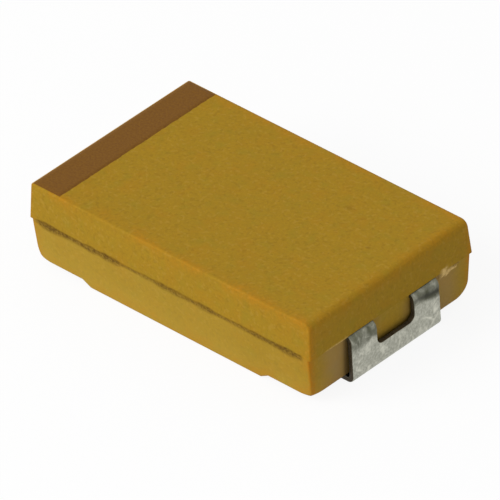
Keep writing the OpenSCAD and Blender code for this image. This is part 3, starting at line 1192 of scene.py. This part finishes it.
@dataclass
class Studio:
    """Pale floor, soft daylight from all round, one broad lamp at the front left, and the camera.

    Attributes:
        ambient: Strength of the even light.
        lamp_power: Power of the lamp in watts.
        lamp_from: Direction that the lamp shines from.
        lamp_reach, lamp_size: Distance and width of the lamp.
        floor_tone: Grey of the floor as the part sees it.
        floor_white, floor_shade: White of the floor that the camera sees, and the share of
            its own shading that shows.
        floor_half, floor_lines: Half width of the floor in millimetres, and its lines.
        azimuth, elevation, roll: Direction of the camera in degrees.
        distance, focal, sensor: Distance, focal length and sensor in millimetres.
        aim_z, shift_up, shift_right: Height that the camera aims at, and how far the aim
            is moved down and to the left in the picture plane, in millimetres.
        near, far: Clipping distances of the camera in metres.
    """

    ambient: float = 0.55
    lamp_power: float = 0.092
    lamp_from: tuple[float, float, float] = (-0.38, -0.7, 0.61)
    lamp_reach: float = 0.12
    lamp_size: float = 0.07
    floor_tone: float = 0.7
    floor_white: float = 0.98
    floor_shade: float = 0.1
    floor_half: float = 3.0
    floor_lines: int = 9
    azimuth: float = 45.403
    elevation: float = 36.086
    roll: float = -3.672
    distance: float = 214.055
    focal: float = 843.28
    sensor: float = 36
    aim_z: float = 0.9564
    shift_up: float = 0.2142
    shift_right: float = 0.0102
    near: float = 0.005
    far: float = 20

    def light(self) -> None:
        """Makes the world and the lamp."""
        scene = bpy.context.scene
        scene.view_settings.view_transform = "Standard"
        world = bpy.data.worlds.new("studio_air")
        world.use_nodes = True
        scene.world = world
        tree = world.node_tree
        tree.nodes.clear()
        air = add_node(tree, "ShaderNodeBackground", {"Color": (1, 1, 1, 1), "Strength": self.ambient})
        back = add_node(tree, "ShaderNodeBackground", {"Color": (1, 1, 1, 1), "Strength": 1.0})
        mix = add_node(tree, "ShaderNodeMixShader", {
            0: seen_rays(tree), 1: air.outputs[0], 2: back.outputs[0]})
        add_node(tree, "ShaderNodeOutputWorld", {"Surface": mix.outputs[0]})
        lamp = bpy.data.lights.new("key_panel", "AREA")
        lamp.energy = self.lamp_power
        lamp.size = self.lamp_size
        holder = bpy.data.objects.new("key_panel", lamp)
        scene.collection.objects.link(holder)
        away = Vector(self.lamp_from).normalized()
        holder.location = away * self.lamp_reach
        holder.rotation_euler = away.to_track_quat("Z", "Y").to_euler()

    def floor(self) -> None:
        """Makes the floor, which the camera sees as near white and which keeps the part's shadow."""
        line = np.linspace(-self.floor_half, self.floor_half, self.floor_lines)
        x, y = np.meshgrid(line, line, indexing="ij")
        n = np.arange(x.size).reshape(x.shape)
        plane = new_piece("floor", np.column_stack([x.ravel(), y.ravel(), 0 * x.ravel()]), grid_faces(n))
        material = bpy.data.materials.new("studio_floor")
        material.use_nodes = True
        tree = material.node_tree
        tree.nodes.clear()
        tone = add_node(tree, "ShaderNodeBsdfDiffuse", {"Color": (*[self.floor_tone] * 3, 1)})
        white = add_node(tree, "ShaderNodeBsdfDiffuse", {"Color": (*[self.floor_white] * 3, 1)})
        glow = add_node(tree, "ShaderNodeEmission", {"Color": (1, 1, 1, 1), "Strength": 1.0})
        shown = add_node(tree, "ShaderNodeMixShader", {
            0: self.floor_shade, 1: glow.outputs[0], 2: white.outputs[0]})
        mix = add_node(tree, "ShaderNodeMixShader", {
            0: seen_rays(tree), 1: tone.outputs[0], 2: shown.outputs[0]})
        add_node(tree, "ShaderNodeOutputMaterial", {"Surface": mix.outputs[0]})
        plane.data.materials.append(material)

    def camera(self) -> None:
        """Aims a long lens at the part from above its near cathode corner."""
        azimuth, elevation, roll = (math.radians(v) for v in (self.azimuth, self.elevation, self.roll))
        back = Vector((math.sin(azimuth) * math.cos(elevation), -math.cos(azimuth) * math.cos(elevation),
                       math.sin(elevation)))
        across = Vector((0, 0, 1)).cross(back).normalized()
        above = back.cross(across)
        right = math.cos(roll) * across + math.sin(roll) * above
        up = -math.sin(roll) * across + math.cos(roll) * above
        aim = Vector((0, 0, self.aim_z)) - self.shift_up * up - self.shift_right * right
        lens = bpy.data.cameras.new("camera")
        lens.lens, lens.sensor_width = self.focal, self.sensor
        lens.clip_start, lens.clip_end = self.near, self.far
        holder = bpy.data.objects.new("camera", lens)
        bpy.context.scene.collection.objects.link(holder)
        turn = Matrix((right, up, back)).transposed()
        holder.matrix_world = Matrix.Translation((aim + back * self.distance) * MM) @ turn.to_4x4()
        bpy.context.scene.camera = holder


def corners(node: str) -> tuple[Array, Array]:
    """Corners of a CAD node in millimetres."""
    low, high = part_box(node)
    return np.array(low) / MM, np.array(high) / MM


def main() -> None:
    """Builds and dresses every piece, then lights it and aims the camera."""
    logging.basicConfig(level=logging.INFO, format="%(message)s")
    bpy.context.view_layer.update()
    low, high = corners("moulded_case")
    case = MouldedCase(half_l=float(high[0]), half_w=float(high[1]), top_z=float(high[2]))
    case.dress(case.build(), MouldedEpoxy(
        "moulded_epoxy", "#9d791a", "#a37f1c", "#a9851f", rough=0.64, gloss=0.1))
    band = PolarityBand(*corners("polarity_band"))
    # Brown ink over the epoxy: dull, with the skin's speckle showing through.
    band.dress(band.build(case), Finish(
        "band_film", "#714a19", "#79511c", "#80581f", rough=0.6, gloss=0.1, grain=0.045))
    plated = MatteTin("matte_tin", "#8e8e82", "#a3a396", "#b6b6a9", rough=0.5, metal=1.0, gloss=0.5,
                      grain=0.05, bump=0.003).make()
    # Bare nickel-iron where the strip was cut after plating: dark and rough.
    sheared = Finish("sheared_edge", "#3f372a", "#4e4535", "#615745", rough=0.6, metal=0.5,
                     grain=0.04, bump=0.003).make()
    for end in End:
        low, high = corners(end.node)
        reach = float(max(high[0], -low[0]))
        lead = Lead(end, outer_x=reach, width=float(high[1] - low[1]))
        lead.dress(lead.build(), plated, sheared)
    InnerParts().dress()
    studio = Studio()
    studio.light()
    studio.floor()
    studio.camera()


if __name__ == "__main__":
    main()
